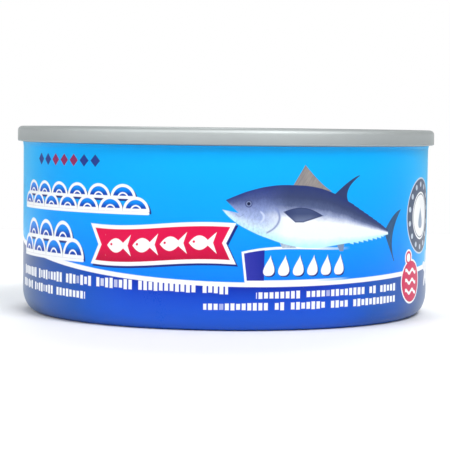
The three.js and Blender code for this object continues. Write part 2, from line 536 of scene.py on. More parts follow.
from_dip = front_turn - SWOOSH_DIP["turn"]
climb = 1 - ink.math("COSINE", from_dip)
lean = ink.math("SINE", from_dip) * SWOOSH_LEAN
swoosh_top = climb * (SWOOSH_CLIMB - lean) + SWOOSH_DIP["height"]
swoosh_foot = swoosh_top - SWOOSH_WIDTH - climb * SWOOSH_WIDENING
aside = abs(across)
sky = ramp(ink.fade(up, SKY_FOOT, SKY_TOP), *SKY)
# Painted reflection: the azure is lighter away from the front.
sky = ink.mix(ink.fade(aside, SKY_PAINTED_REFLECTION_START, SKY_PAINTED_REFLECTION_STOP), sky, SKY_PAINTED_REFLECTION)
sea = ramp((swoosh_foot - up) / SEA_DEPTH, *SEA)
# Painted shade and painted grey reflection: slate royal blue away from the front.
sea_painted_shade = ramp(ink.fade(aside, SEA_PAINTED_SHADE_START, SEA_PAINTED_SHADE_STOP), *SEA_PAINTED_SHADE)
to_painted_shade = ink.fade(aside, SEA_PAINTED_SHADE_START, SEA_PAINTED_SHADE_FULL)
sea = ink.mix(to_painted_shade * SEA_PAINTED_SHADE_SHARE, sea, sea_painted_shade)
colour = lay(sky, up - swoosh_top, WHITE)
colour = lay(colour, up - swoosh_foot, sea)

# Two bands of overlapping waves, each a row behind and a row in front, with white crests.
WAVES = (
    {"start": -53.7, "count": 7, "pitch": 5.6, "base": 22.2, "stretch": 1.0},
    {"start": -54.2, "count": 4, "pitch": 6.2, "base": 12.6, "stretch": 1.25},
)
CREST = 0.56
INNER_CREST = 0.29
INNER_CREST_SHARE = 0.2
WAVE_OVERLAP = 0.42
SHADOW_SHIFT = 0.4
WATER = (
    (0.0, linear(10, 34, 130)), (0.35, linear(8, 78, 190)), (0.6, linear(2, 136, 240)),
    (1.0, AZURE),
)


def half_discs(start, count, pitch, base, stretch, shift=0.0):
    """A row of half discs, and how far each point is from its own disc's middle."""
    u = across - shift - start
    v = (up + shift - base) / stretch
    radius = reach(u % pitch - pitch / 2, v)
    ends = abs(u - count * pitch / 2) - count * pitch / 2
    return (radius - pitch / 2) | ends | -v, radius


def lay_waves(under, start, count, pitch, base, stretch):
    front_row = {"start": start, "count": count, "pitch": pitch, "base": base, "stretch": stretch}
    rise = pitch * WAVE_OVERLAP * stretch
    rows = (dict(front_row, start=start + pitch / 2, count=count - 1, base=base + rise), front_row)
    for row in rows:
        under = lay(under, half_discs(**row, shift=SHADOW_SHIFT)[0], NAVY)
    length = count * pitch
    foot_u = across - start - length / 2
    foot_v = up - base + CREST / 2
    under = lay(under, card(foot_u, foot_v, length / 2, CREST / 2, CREST / 2), WHITE)
    for row in rows:
        shape, radius = half_discs(**row)
        height = (up - row["base"]) / (pitch / 2 * stretch)
        inner_crest = abs(radius - pitch * INNER_CREST_SHARE) - INNER_CREST / 2
        under = lay(under, shape, WHITE)
        under = lay(under, shape + CREST, ramp(height, *WATER))
        under = lay(under, inner_crest | shape, WHITE)
    return under


for band in WAVES:
    colour = lay_waves(colour, **band)

# The red ribbon, with notched ends and a row of small fish.
RED = linear(228, 4, 66)
RED_LOW = linear(196, 0, 48)
RIBBON_MIDDLE = (-12.7, 16.2)
RIBBON_HALF_LENGTH = 13.7
RIBBON_HALF_WIDTH = 3.1
RIBBON_NOTCH = 1.5
RIBBON_EDGE = 0.75
SWAY_HEIGHT = 0.55
SWAY_TURN = 0.16
SMALL_FISH = 4
SMALL_FISH_PITCH = 5.6
SMALL_FISH_BODY = {"middle": -0.45, "half_height": 1.35, "taper": 0.34}
SMALL_FISH_TAIL = {"root": 0.55, "flare": 0.9, "end": 2.1, "notch": 0.35}
SMALL_FISH_EYE = {"place": (-1.5, 0.22), "radius": 0.24}


def red_ribbon(shift):
    u = across - shift - RIBBON_MIDDLE[0]
    v = up + shift - RIBBON_MIDDLE[1] - ink.math("SINE", u * SWAY_TURN) * SWAY_HEIGHT
    end = RIBBON_HALF_LENGTH - (1 - abs(v) / RIBBON_HALF_WIDTH) * RIBBON_NOTCH
    return (abs(v) - RIBBON_HALF_WIDTH) | (abs(u) - end), u, v


def small_fish(u, v):
    along = u - SMALL_FISH_BODY["middle"]
    body = abs(v) + along * along * SMALL_FISH_BODY["taper"] - SMALL_FISH_BODY["half_height"]
    flare = abs(v) - (u - SMALL_FISH_TAIL["root"]) * SMALL_FISH_TAIL["flare"]
    end = u - SMALL_FISH_TAIL["end"] - abs(v) * SMALL_FISH_TAIL["notch"]
    eye_u, eye_v = SMALL_FISH_EYE["place"]
    eye = SMALL_FISH_EYE["radius"] - reach(u - eye_u, v - eye_v)
    return (body & (flare | end)) | eye


colour = lay(colour, red_ribbon(SHADOW_SHIFT)[0] - RIBBON_EDGE, NAVY)
ribbon, ribbon_u, ribbon_v = red_ribbon(0.0)
ribbon_height = ink.fade(ribbon_v, -RIBBON_HALF_WIDTH, RIBBON_HALF_WIDTH)
colour = lay(colour, ribbon - RIBBON_EDGE, WHITE)
colour = lay(colour, ribbon, ramp(ribbon_height, (0.0, RED_LOW), (0.5, RED)))
shoal = small_fish(ribbon_u % SMALL_FISH_PITCH - SMALL_FISH_PITCH / 2, ribbon_v)
colour = lay(colour, shoal | (abs(ribbon_u) - SMALL_FISH * SMALL_FISH_PITCH / 2), WHITE)

# Rows of short ticks, where a label has its small print.
TICK_PITCH = 1.05
TICK_HALF_WIDTH = 0.36
TICK_LEAST = 0.75
TICK_SPREAD = 0.4
GAP_CHANCE = 0.16
SMALL_PRINT = (
    {"start": -55.6, "stop": 0.7, "left_v": 9.0, "right_v": 8.1, "half": 0.85, "phase": 0.5},
    {"start": -55.5, "stop": -29.0, "left_v": 6.4, "right_v": 5.7, "half": 0.75, "phase": 20.5},
    {"start": 6.0, "stop": 39.0, "left_v": 6.9, "right_v": 7.4, "half": 0.65, "phase": 40.5},
    {"start": -3.9, "stop": 39.2, "left_v": 4.75, "right_v": 5.1, "half": 0.65, "phase": 60.5},
)


def ticks(start, stop, left_v, right_v, half, phase):
    """A row of upright ticks of uneven height, with gaps."""
    luck = chance(ink.math("FLOOR", across / TICK_PITCH) + phase)
    middle_v = (across - start) * ((right_v - left_v) / (stop - start)) + left_v
    row = abs(up - middle_v) - (luck * TICK_SPREAD + TICK_LEAST) * half
    tick = abs(across % TICK_PITCH - TICK_PITCH / 2) - TICK_HALF_WIDTH
    ends = abs(across - (start + stop) / 2) - (stop - start) / 2
    return row | tick | ends | (GAP_CHANCE - luck)


for row in SMALL_PRINT:
    colour = lay(colour, ticks(**row), WHITE)

# A row of small diamonds near the top edge, the inner ones red.
DIAMONDS_MIDDLE = (-35.3, 31.6)
DIAMONDS = 7
INNER_DIAMONDS = 3
DIAMOND_PITCH = 2.9
DIAMOND_HALF = 1.2
DIAMOND_BLUE = linear(40, 62, 140)
DIAMOND_RED = linear(150, 44, 92)
diamonds_u = across - DIAMONDS_MIDDLE[0]
diamond_u = (diamonds_u + DIAMOND_PITCH / 2) % DIAMOND_PITCH - DIAMOND_PITCH / 2
diamond = abs(diamond_u) + abs(up - DIAMONDS_MIDDLE[1]) - DIAMOND_HALF
diamond = diamond | (abs(diamonds_u) - DIAMONDS * DIAMOND_PITCH / 2)
inner = abs(diamonds_u) < INNER_DIAMONDS * DIAMOND_PITCH / 2
colour = lay(colour, diamond, ink.mix(inner, DIAMOND_BLUE, DIAMOND_RED))

# Flag under the tuna: a white line that fades out, a navy fold at its left and oil drops.
FLAG_LEFT = 3.6
FLAG_RIGHT = 26.5
FLAG_HEIGHT = 14.8
FLAG_CURVE = (0.235, -0.0195, 0.00046)
FLAG_SLANT = 0.11
FLAG_LIFT = 0.35
FLAG_LINE = (-0.05, 0.4)
FLAG_LINE_FADE = (17, 26)
FLAG_LINE_END = 0.84
FOLD_WIDTH = 3.9
FOLD_SLANT = 0.12
FOLD = ((0.0, linear(52, 54, 168)), (1.0, linear(26, 36, 150)))
DROPS = 6
DROP_PITCH = 2.9
DROPS_MIDDLE = (14.2, 12.5)
DROP_HALF = (0.82, 1.95)
DROP_SLANT = 0.12
DROP_SHADOW = 0.25

flag_u = across - FLAG_LEFT
steepness, square, cube = FLAG_CURVE
flag_top = ((flag_u * cube + square) * flag_u + steepness) * flag_u + FLAG_HEIGHT
flag_in = flag_u - (flag_top - up) * FLAG_SLANT
flag = (up - flag_top) | (swoosh_top + FLAG_LIFT - up) | -flag_in | (across - FLAG_RIGHT)
line_fade = ink.fade(across, *FLAG_LINE_FADE)
line = (flag - FLAG_LINE[1]) | (FLAG_LINE[0] - flag) | ((line_fade - FLAG_LINE_END) * 0.5)
colour = lay(colour, line, ink.mix(line_fade, WHITE, AZURE))
fold = flag | (flag_in - FOLD_WIDTH + (flag_top - up) * FOLD_SLANT)
colour = lay(colour, fold, ramp(flag_in / FOLD_WIDTH, *FOLD))


def oil_drops(shift):
    row_u = across - shift - up * DROP_SLANT - DROPS_MIDDLE[0]
    each = drop(row_u % DROP_PITCH - DROP_PITCH / 2, up + shift - DROPS_MIDDLE[1], *DROP_HALF)
    return each | (abs(row_u) - DROPS * DROP_PITCH / 2)


colour = lay(colour, oil_drops(DROP_SHADOW), NAVY)
colour = lay(colour, oil_drops(0.0), WHITE)

# The tuna: its fins first, then the body over their roots, and what is on its flank.
CURVE_SQUARE = 48.0
JAW = -0.5
TAIL_ROOT = 35.9
BACK = (
    (0, 24.7), (2.3, 25.7), (4.5, 26.5), (8.8, 27.45), (13, 27.6), (18, 27.1), (22, 25.8),
    (28.8, 22.3), (36, 18.6),
)
BELLY = (
    (JAW, 22.9), (1.7, 20.8), (4.6, 19.1), (8.2, 17.6), (13.3, 16.1), (17.4, 15.75),
    (23.5, 16.35), (36, 17.8),
)
FIRST_DORSAL = {"root": (12.9, 27.5), "tip": (15.2, 31.2), "foot": 26.4}
FIRST_DORSAL_BACK = {"root": (21.9, 26.1), "rise": 5.4, "bend": 1.45}
FIRST_DORSAL_TINTS = (linear(112, 106, 112), linear(176, 168, 154))
SECOND_DORSAL = {"root": (21.8, 25.95), "tip": (27.4, 29.35), "bend": 1.35}
SECOND_DORSAL_BACK = {"notch": (24.5, 25.6), "hollow": 0.225}
SECOND_DORSAL_BLOCK = (24.7, 27, 3)
ANAL_FIN = {"root": (23.1, 16.4), "half_width": 0.9, "taper": 0.35, "lean": 0.2, "depth": 1.4}
PELVIC_FIN = {"root": (11.9, 16.6), "half_width": 1.4, "taper": 0.0, "lean": 0.5, "depth": 0.8}
TAIL_TOP = {"root": (35.1, 18.9), "tip": (40.45, 22.5), "bend": 1.8}
TAIL_FOOT = {"root": (35.1, 17.5), "tip": (37.95, 12.5)}
TAIL_BACK = {"middle": (37.35, 17), "lean": 0.14, "hollow": 0.075}
TAIL_TINTS = (linear(34, 62, 102), linear(66, 106, 140))
FIN_DARK = linear(50, 60, 102)


def profile(points):
    """A smooth height over the length of the fish."""
    scaled = [((u - JAW) / CURVE_SQUARE, v / CURVE_SQUARE) for u, v in points]
    values = {"Value": (across - JAW) / CURVE_SQUARE}
    return ink.node("FloatCurve", {"points": scaled}, values)["Value"] * CURVE_SQUARE


def below_swept(root, tip, bend):
    """Under a front edge that is steep at first and flattens towards its tip."""
    left = ink.fade(across, tip[0], root[0])
    return up - (1 - left ** bend) * (tip[1] - root[1]) - root[1]


def belly_fin(root, half_width, taper, lean, depth):
    """A short fin that hangs from under the body and leans towards the tail."""
    below = root[1] - up
    side = abs(across - root[0] - below * lean) - half_width + below * taper
    return side | (below - depth) | (-below - 1)


fin_rays = ink.noise(ink.vector(across * 1.6 - up * 0.9, up * 0.25, 0.0), 1.3)
back_left = ink.fade(across, FIRST_DORSAL_BACK["root"][0], FIRST_DORSAL["tip"][0])
back_height = back_left ** FIRST_DORSAL_BACK["bend"] * FIRST_DORSAL_BACK["rise"]
first_dorsal = left_of(FIRST_DORSAL["root"], FIRST_DORSAL["tip"]) | (FIRST_DORSAL["foot"] - up)
first_dorsal = first_dorsal | (up - back_height - FIRST_DORSAL_BACK["root"][1])
colour = lay(colour, first_dorsal, ink.mix(fin_rays, *FIRST_DORSAL_TINTS))

notch_u, notch_v = SECOND_DORSAL_BACK["notch"]
hollow = (up - notch_v) * (up - notch_v) * SECOND_DORSAL_BACK["hollow"]
second_dorsal = below_swept(**SECOND_DORSAL) | (across - notch_u - hollow)
block_u, block_v, block_half = SECOND_DORSAL_BLOCK
second_dorsal = second_dorsal | block(across - block_u, up - block_v, block_half, block_half)
colour = lay(colour, second_dorsal, FIN_DARK)
colour = lay(colour, belly_fin(**ANAL_FIN), linear(128, 146, 174))
pelvic_tint = ink.mix(fin_rays, linear(126, 146, 176), linear(206, 222, 238))
colour = lay(colour, belly_fin(**PELVIC_FIN), pelvic_tint)

tail_v = up - TAIL_BACK["middle"][1]
tail_back = tail_v * (tail_v * TAIL_BACK["hollow"] + TAIL_BACK["lean"]) + TAIL_BACK["middle"][0]
tail = below_swept(**TAIL_TOP) | left_of(TAIL_FOOT["tip"], TAIL_FOOT["root"])
tail = tail | (across - tail_back) | (TAIL_FOOT["tip"][1] - up)
colour = lay(colour, tail, ink.mix(fin_rays, *TAIL_TINTS))

FINLET_PITCH = 1.25
FINLETS_MIDDLE = 29.9
FINLETS_HALF_LENGTH = 4.6
FINLET_DEPTHS = {"back": 0.1, "belly": 0.42}
MOUTH = {"lower": (-0.5, 22.95), "corner": (2.55, 22.35), "upper": (0.0, 24.85)}
LEAST_GIRTH = 0.3
MOTTLE = 0.12
FLANK = (
    (0.0, linear(184, 244, 255)), (0.16, linear(240, 255, 255)), (0.44, linear(244, 250, 255)),
    (0.56, linear(160, 172, 206)), (0.66, linear(90, 102, 138)), (0.8, linear(60, 70, 106)),
    (1.0, linear(44, 56, 112)),
)
HEAD = (
    (0.0, linear(200, 246, 255)), (0.16, linear(216, 238, 255)), (0.34, linear(172, 190, 232)),
    (0.6, linear(128, 144, 194)), (0.78, linear(80, 92, 144)), (1.0, linear(40, 52, 122)),
)
HEAD_END = (11.3, 6.8)
HEAD_SLANT = 0.15
HEAD_MIDDLE = 21
SPECKLE = linear(58, 66, 102)
SPECKLE_SHARE = 0.45
SPECKLE_FADE = (0.42, 0.72)
SPECKLE_HEIGHTS = (0.42, 0.7)
SPECKLE_ON_HEAD = 0.8
back = profile(BACK)
belly = profile(BELLY)
finlets = (across / FINLET_PITCH) % 1.0 * (abs(across - FINLETS_MIDDLE) < FINLETS_HALF_LENGTH)
mouth = -left_of(MOUTH["lower"], MOUTH["corner"]) | left_of(MOUTH["upper"], MOUTH["corner"])
tuna = (up - back - finlets * FINLET_DEPTHS["back"]) | (across - TAIL_ROOT) | (JAW - across)
tuna = tuna | (belly - finlets * FINLET_DEPTHS["belly"] - up) | -mouth
mottle = ink.noise(where, 0.55, 5.0, 0.7)
height = (up - belly) / ((back - belly) | LEAST_GIRTH) + (mottle - 0.5) * MOTTLE
to_head = ink.fade(across - (up - HEAD_MIDDLE) * HEAD_SLANT, *HEAD_END)
skin = ink.mix(to_head, ramp(height, *FLANK), ramp(height, *HEAD))
speckle = ink.noise(ink.vector(across * 1.3, up * 0.8, 0.0), 1.7, 5.0, 0.75)
on_back = ink.fade(height, *SPECKLE_HEIGHTS) | to_head * SPECKLE_ON_HEAD
speckled = ink.fade(speckle, *SPECKLE_FADE) * on_back
colour = lay(colour, tuna, ink.mix(speckled * SPECKLE_SHARE, skin, SPECKLE))

# Its gill, cheek and lip, the pectoral fin and the eye.
CHEEK = (5.4, 21.6)
CHEEK_STRETCH = (1.25, 0.86)
CHEEK_TOP = 23.4
GILL = {"radius": 3.9, "half_width": 0.14, "start": 7.85}
CHEEK_LIGHT = {"radius": 1.5, "half_width": 0.12, "start": 6.65}
LIP = {"middle": (2.7, 22.3), "radius": 0.7, "stretch": 0.8, "top": 22.1}
LIP_SOFTNESS = 0.25
PECTORAL = {"root": (11.0, 22.6), "tip": (19.2, 21.8), "crown": 0.95, "droop": 0.8}
PECTORAL_FOOT = {"front": (13.4, 20.6), "back": (15.0, 20.6)}
PECTORAL_EDGE = 0.18
PECTORAL_FADE = (20.4, 23.4)
PECTORAL_TINTS = ((0.0, linear(120, 132, 162)), (0.6, linear(66, 78, 116)))
FACE_SOFTNESS = 0.3
EYE = (4.4, 24.1)
EYE_RINGS = ((0.7, linear(72, 82, 126)), (0.5, linear(128, 142, 182)), (0.32, linear(20, 26, 58)))
cheek = reach((across - CHEEK[0]) / CHEEK_STRETCH[0], (up - CHEEK[1]) / CHEEK_STRETCH[1])


def cheek_bow(radius, half_width, start):
    """A thin bow round the cheek, on the side towards the tail."""
    return (abs(cheek - radius) - half_width) | (start - across) | (up - CHEEK_TOP)


colour = lay(colour, cheek_bow(**GILL) | tuna, linear(126, 140, 188), FACE_SOFTNESS)
colour = lay(colour, cheek_bow(**CHEEK_LIGHT), linear(214, 226, 255), FACE_SOFTNESS)
lip_u, lip_v = LIP["middle"]
lip = abs(reach(across - lip_u, (up - lip_v) / LIP["stretch"]) - LIP["radius"])
colour = lay(colour, lip | (up - LIP["top"]), linear(98, 106, 156), LIP_SOFTNESS)

root_u, root_v = PECTORAL["root"]
fin_out = (across - root_u) / (PECTORAL["tip"][0] - root_u)
fin_crown = ink.math("SINE", fin_out * math.pi) * PECTORAL["crown"]
fin_top = fin_crown - fin_out * fin_out * PECTORAL["droop"] + root_v
fin_front = left_of(PECTORAL_FOOT["front"], PECTORAL["root"])
fin_foot = left_of(PECTORAL["tip"], PECTORAL_FOOT["back"]) | (PECTORAL_FOOT["back"][1] - up)
pectoral = (up - fin_top) | fin_front | fin_foot | (abs(fin_out - 0.5) - 0.5)
pectoral_fill = ramp(ink.fade(up, *PECTORAL_FADE), *PECTORAL_TINTS)
colour = lay(colour, pectoral, FIN_DARK)
colour = lay(colour, pectoral + PECTORAL_EDGE, pectoral_fill, FACE_SOFTNESS)

eye = reach(across - EYE[0], up - EYE[1])
for radius, tint in EYE_RINGS:
    colour = lay(colour, eye - radius, tint)

# Round badge with a ring of dots and a drop, near the right edge of the front.
BADGE_MIDDLE = (50.7, 20.9)
BADGE_RADIUS = 7.7
BADGE_EDGE = 0.3
BADGE_DISC = 4.8
BADGE_LINE = {"radius": 4.35, "half_width": 0.1}
BADGE_DOTS = 14
BADGE_DOT = {"from_middle": 6.3, "radius": 0.55}
BADGE_DROP = {"height": -0.4, "half": (1.0, 2.2)}
SLATE = linear(82, 94, 114)
badge_u = across - BADGE_MIDDLE[0]
badge_v = up - BADGE_MIDDLE[1]
badge = reach(badge_u, badge_v)
dot_count = ink.math("ARCTAN2", badge_v, badge_u) * (BADGE_DOTS / (2 * math.pi))
dot_pitch = 2 * math.pi * BADGE_DOT["from_middle"] / BADGE_DOTS
dot = reach((dot_count % 1.0 - 0.5) * dot_pitch, badge - BADGE_DOT["from_middle"])
badge_line = abs(badge - BADGE_LINE["radius"]) - BADGE_LINE["half_width"]
badge_drop = drop(badge_u, badge_v - BADGE_DROP["height"], *BADGE_DROP["half"])
colour = lay(colour, badge - BADGE_RADIUS, linear(206, 220, 232))
colour = lay(colour, badge - BADGE_RADIUS + BADGE_EDGE, SLATE)
colour = lay(colour, dot - BADGE_DOT["radius"], linear(200, 212, 224))
colour = lay(colour, badge - BADGE_DISC, WHITE)
colour = lay(colour, badge_line, SLATE)
colour = lay(colour, badge_drop, linear(150, 168, 190))

# Red oval with a white dot on top and three wavy stripes, and a star to its right.
OVAL_MIDDLE = (45.4, 8.0)
OVAL_RADIUS = 4.1
OVAL_EDGE = 0.35
OVAL_DOT = {"middle": (44.2, 12.8), "rim": 1.3, "radius": 0.85}
OVAL_STRIPES = 3
STRIPE_PITCH = 2.0
STRIPE_HALF = (2.6, 0.32)
STRIPE_WAVE = {"turn": 2.1, "height": 0.35}
oval_u = across - OVAL_MIDDLE[0]
oval_v = up - OVAL_MIDDLE[1]
oval_dot = reach(across - OVAL_DOT["middle"][0], up - OVAL_DOT["middle"][1])
oval = (reach(oval_u, oval_v) - OVAL_RADIUS) & (oval_dot - OVAL_DOT["rim"])
stripes_half = OVAL_STRIPES * STRIPE_PITCH / 2
wave_v = oval_v - ink.math("SINE", oval_u * STRIPE_WAVE["turn"]) * STRIPE_WAVE["height"]
stripe_v = (wave_v + stripes_half) % STRIPE_PITCH - STRIPE_PITCH / 2
stripes = (abs(stripe_v) - STRIPE_HALF[1]) | block(oval_u, wave_v, STRIPE_HALF[0], stripes_half)
colour = lay(colour, oval - OVAL_EDGE, WHITE)
colour = lay(colour, oval, linear(214, 40, 82))
colour = lay(colour, oval_dot - OVAL_DOT["radius"], WHITE)
colour = lay(colour, stripes, WHITE)

STAR_MIDDLE = (57.5, 9.6)
STAR_RADIUS = 2.9
STAR_POINTS = 5
STAR_POINT_HEIGHT = 1.1
star_u = across - STAR_MIDDLE[0]
star_v = up - STAR_MIDDLE[1]
star_turn = ink.math("ARCTAN2", star_u, star_v) * STAR_POINTS
star_edge = ink.math("COSINE", star_turn) * STAR_POINT_HEIGHT + STAR_RADIUS
colour = lay(colour, reach(star_u, star_v) - star_edge, linear(236, 240, 244))

# The back: a white panel of fine lines, rows of small print and a card of upright bars.
BACK_HEIGHT = 19.5
LINE_BLUE = linear(36, 70, 140)
LINE_HALF = 0.12
PANEL_MIDDLE = 84.0
PANEL = {"half_width": 19.5, "half_height": 11, "radius": 1.7}
PANEL_FRAME_HALF = (18.4, 9.9)
PANEL_PRINT_HALF = (16.4, 8.9)
PANEL_TITLE = {"height": 7.7, "half": 1.0}
PANEL_RULE = 5.6
PANEL_LINES = {"top": 5.2, "pitch": 1.9, "half": 0.3}
LINE_START = {"middle": -15, "half_length": 9, "spread": 5}
LINE_END = {"middle": 14, "half_length": 2.2}
panel_u = across - PANEL_MIDDLE
panel_v = up - BACK_HEIGHT
line_v = panel_v + PANEL_PRINT_HALF[1]
line_luck = chance(ink.math("FLOOR", line_v / PANEL_LINES["pitch"])) * LINE_START["spread"]
line_start = abs(panel_u - LINE_START["middle"] - line_luck) - LINE_START["half_length"]
line_end = abs(panel_u - LINE_END["middle"]) - LINE_END["half_length"]
in_line = abs(line_v % PANEL_LINES["pitch"] - PANEL_LINES["pitch"] / 2) - PANEL_LINES["half"]
panel_lines = in_line | (line_start & line_end) | (panel_v - PANEL_LINES["top"])
rule = abs(panel_v - PANEL_RULE) - LINE_HALF
title = block(panel_u, panel_v - PANEL_TITLE["height"], PANEL_PRINT_HALF[0], PANEL_TITLE["half"])
panel_print = (title & rule & panel_lines) | block(panel_u, panel_v, *PANEL_PRINT_HALF)
colour = lay(colour, card(panel_u, panel_v, **PANEL), WHITE)
colour = lay(colour, abs(block(panel_u, panel_v, *PANEL_FRAME_HALF)) - LINE_HALF, LINE_BLUE)
colour = lay(colour, panel_print, LINE_BLUE)

BACK_PRINT = {"left": -112, "right": -72, "top": 29.3, "pitch": 2.7, "half": 0.7}
BACK_PRINT_LINES = 4
LAST_LINE_SHORTER = 8
BACK_PRINT_PHASES = (90, 7)
for line in range(BACK_PRINT_LINES):
    height = BACK_PRINT["top"] - line * BACK_PRINT["pitch"]
    stop = BACK_PRINT["right"] - LAST_LINE_SHORTER * (line == BACK_PRINT_LINES - 1)
    phase = BACK_PRINT_PHASES[0] + line * BACK_PRINT_PHASES[1]
    row = ticks(BACK_PRINT["left"], stop, height, height, BACK_PRINT["half"], phase)
    colour = lay(colour, row, WHITE)

BAR_CARD = {"half_width": 15, "half_height": 8, "radius": 0.8}
BARS_HALF = (12.8, 5.8)
BAR_PITCH = 0.8
BAR_LEAST = 0.04
BAR_SPREAD = 0.34
back_across = ink.math("ARCTAN2", -px, py) * BODY_RADIUS
bar_half = chance(ink.math("FLOOR", back_across / BAR_PITCH)) * BAR_SPREAD + BAR_LEAST
bars = abs(back_across % BAR_PITCH - BAR_PITCH / 2) - bar_half
colour = lay(colour, card(back_across, panel_v, **BAR_CARD), WHITE)
colour = lay(colour, bars | block(back_across, panel_v, *BARS_HALF), linear(20, 24, 40))

# Under the can, and where the end hides it, the steel has only its lacquer. The print's dots
# and the lacquer are a little uneven, and the edge that it stands on is scuffed.
BARE_STEEL = linear(178, 180, 182)
DOT_INK = linear(10, 90, 200)
DOT_SHARE = 0.07
PRINT_FOOT = (0.4, 0.8)
LIP_MARGIN = 0.05
SCUFF_HEIGHT = 2.2
SCUFF_FADE = (0.68, 0.85)
SCUFF_SHARE = 0.6
from_axis = reach(px, py)
print_ends = ink.fade(from_axis, stand_radius - PRINT_FOOT[0], stand_radius - PRINT_FOOT[1])
under_can = print_ends * (up < HEEL_HEIGHT)
under_end = (up > CONTENTS_TOP - 1) * (from_axis < lip_radius - LIP_MARGIN)
bare = under_can | under_end
dots = ink.noise(where, 3.5, 3.0, 0.6)
smears = ink.noise(where, 0.05, 3.0, 0.55)
scuffs = ink.noise(ink.vector(across * 0.9, up * 0.35, 0.0), 1.1, 5.0, 0.7)
worn = ink.fade(scuffs, *SCUFF_FADE) * (up < SCUFF_HEIGHT)
colour = ink.mix(dots * DOT_SHARE, colour, DOT_INK)
colour = ink.mix(bare, colour, BARE_STEEL)
colour = ink.mix(worn * SCUFF_SHARE, colour, BARE_STEEL)
ink.shade(
    base_color=colour,
    metallic=bare * 0.9,
    roughness=smears * 0.16 + dots * 0.05 + bare * 0.1 + 0.2,
    specular_ior_level=0.18,
    normal=ink.bump(dots * 0.4 + smears * 3, 0.00004, 0.25),
)
body = finished("printed_body", body_mesh, ink)
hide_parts("can_body")
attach(body, "root")

# Easy-open end
# Pressed from thin lacquered tinplate, with a groove inside the seam, a score line to tear
# along, a ring bead and a finger well. Its rim is rolled round the body's lip as the seam.
SEAM_HEIGHT = 3.1
SEAM_THICKNESS = 1.55
SEAM_TOP_RADIUS = 0.95
SEAM_INSIDE_RADIUS = 0.55
SEAM_FOOT_RADIUS = 0.3
CHUCK_WALL_LEAN = 0.5
GROOVE_DEPTH = 5.3
GROOVE_RADIUS = 0.5
PANEL_DEPTH = 4.4
PANEL_EDGE_RADIUS = 0.4
PANEL_STEP_DEPTH = 0.5
PANEL_STEP_RADIUS = 37.8
PANEL_STEP_RUN = 0.5
PANEL_BEAD_RADIUS = 26.8
PANEL_BEAD_HEIGHT = 0.35
PANEL_RINGS = 50
SCORE_RADIUS = 39.2
SCORE_WIDTH = 0.3
SCORE_DEPTH = 0.12
WELL_Y = 14.5
WELL_HALF_WIDTH = 9.5
WELL_HALF_LENGTH = 9.0
WELL_DEPTH = 0.75
CLEARANCE = 0.1
SEAM_DULLNESS = 0.28
# Painted shade on the seam: darker all round, and darker still towards its foot.
SEAM_PAINTED_SHADE = (0.25, 0.6)
SEAM_PAINTED_SHADE_HEIGHTS = (2.2, 0.2)
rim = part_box("easy_open_end")[1].z / MM
seam_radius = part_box("easy_open_end")[1].x / MM
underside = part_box("easy_open_end")[0].z / MM
seam_foot = rim - SEAM_HEIGHT
chuck_top = seam_radius - SEAM_THICKNESS
groove_r = chuck_top - CHUCK_WALL_LEAN - GROOVE_RADIUS
groove_z = rim - GROOVE_DEPTH + GROOVE_RADIUS
panel_corner = groove_r - GROOVE_RADIUS - PANEL_EDGE_RADIUS
panel_edge = rim - PANEL_DEPTH
panel_middle = panel_edge - PANEL_STEP_DEPTH


def quarter(centre_r, centre_z, radius, start, steps=8):
    """A quarter of a circle, met anticlockwise."""
    return arc(centre_r, centre_z, radius, radius, start, start + 90, steps)


end_mesh = turned([
    (0, underside),
    (lip_radius - CLEARANCE, underside),
    (lip_radius - CLEARANCE, seam_foot),
    (seam_radius - SEAM_FOOT_RADIUS, seam_foot),
    *quarter(seam_radius - SEAM_FOOT_RADIUS, seam_foot + SEAM_FOOT_RADIUS, SEAM_FOOT_RADIUS, -90),
    (seam_radius, rim - SEAM_TOP_RADIUS),
    *quarter(seam_radius - SEAM_TOP_RADIUS, rim - SEAM_TOP_RADIUS, SEAM_TOP_RADIUS, 0),
    *quarter(chuck_top + SEAM_INSIDE_RADIUS, rim - SEAM_INSIDE_RADIUS, SEAM_INSIDE_RADIUS, 90),
    *arc(groove_r, groove_z, GROOVE_RADIUS, GROOVE_RADIUS, 0, -180, 10),
    *quarter(panel_corner, panel_edge - PANEL_EDGE_RADIUS, PANEL_EDGE_RADIUS, 0),
    (SCORE_RADIUS + SCORE_WIDTH / 2, panel_edge),
    (SCORE_RADIUS, panel_edge - SCORE_DEPTH),
    (SCORE_RADIUS - SCORE_WIDTH / 2, panel_edge),
    *slope((PANEL_STEP_RADIUS, panel_edge), (PANEL_STEP_RADIUS - PANEL_STEP_RUN, panel_middle), 5),
    *[(radius, panel_middle) for radius in (36, 34, 32, 30)],
    *bead(PANEL_BEAD_RADIUS, panel_middle, PANEL_BEAD_HEIGHT),
    *[(25 * ring / PANEL_RINGS, panel_middle) for ring in range(PANEL_RINGS, -1, -1)],
], TURN_STEPS)
for vert in end_mesh.verts:
    x, y, z = vert.co / MM
    out = (x / WELL_HALF_WIDTH) ** 2 + ((y - WELL_Y) / WELL_HALF_LENGTH) ** 2
    if z > panel_middle - CLEARANCE and out < 1:
        vert.co.z -= WELL_DEPTH * (1 - out) ** 0.75 * MM

tinplate = Finish("tinplate")
where, px, py, up = tinplate.place()
from_axis = (px * px + py * py) ** 0.5
on_panel = (from_axis < panel_corner) * (up < panel_edge + CLEARANCE)
rolled_grain = tinplate.noise(tinplate.vector(px * 0.12, py * 5, 0.0), 1.0, 3.0, 0.6)
turned_grain = tinplate.noise(tinplate.vector(from_axis * 7, up * 7, 0.0), 1.0, 3.0, 0.6)
grain = rolled_grain * on_panel + turned_grain * (1 - on_panel)
clouds = tinplate.noise(where, 0.12, 3.0, 0.55)
dull_spots = tinplate.fade(tinplate.noise(where, 0.45, 5.0, 0.7), 0.62, 0.82)
on_seam = from_axis > chuck_top
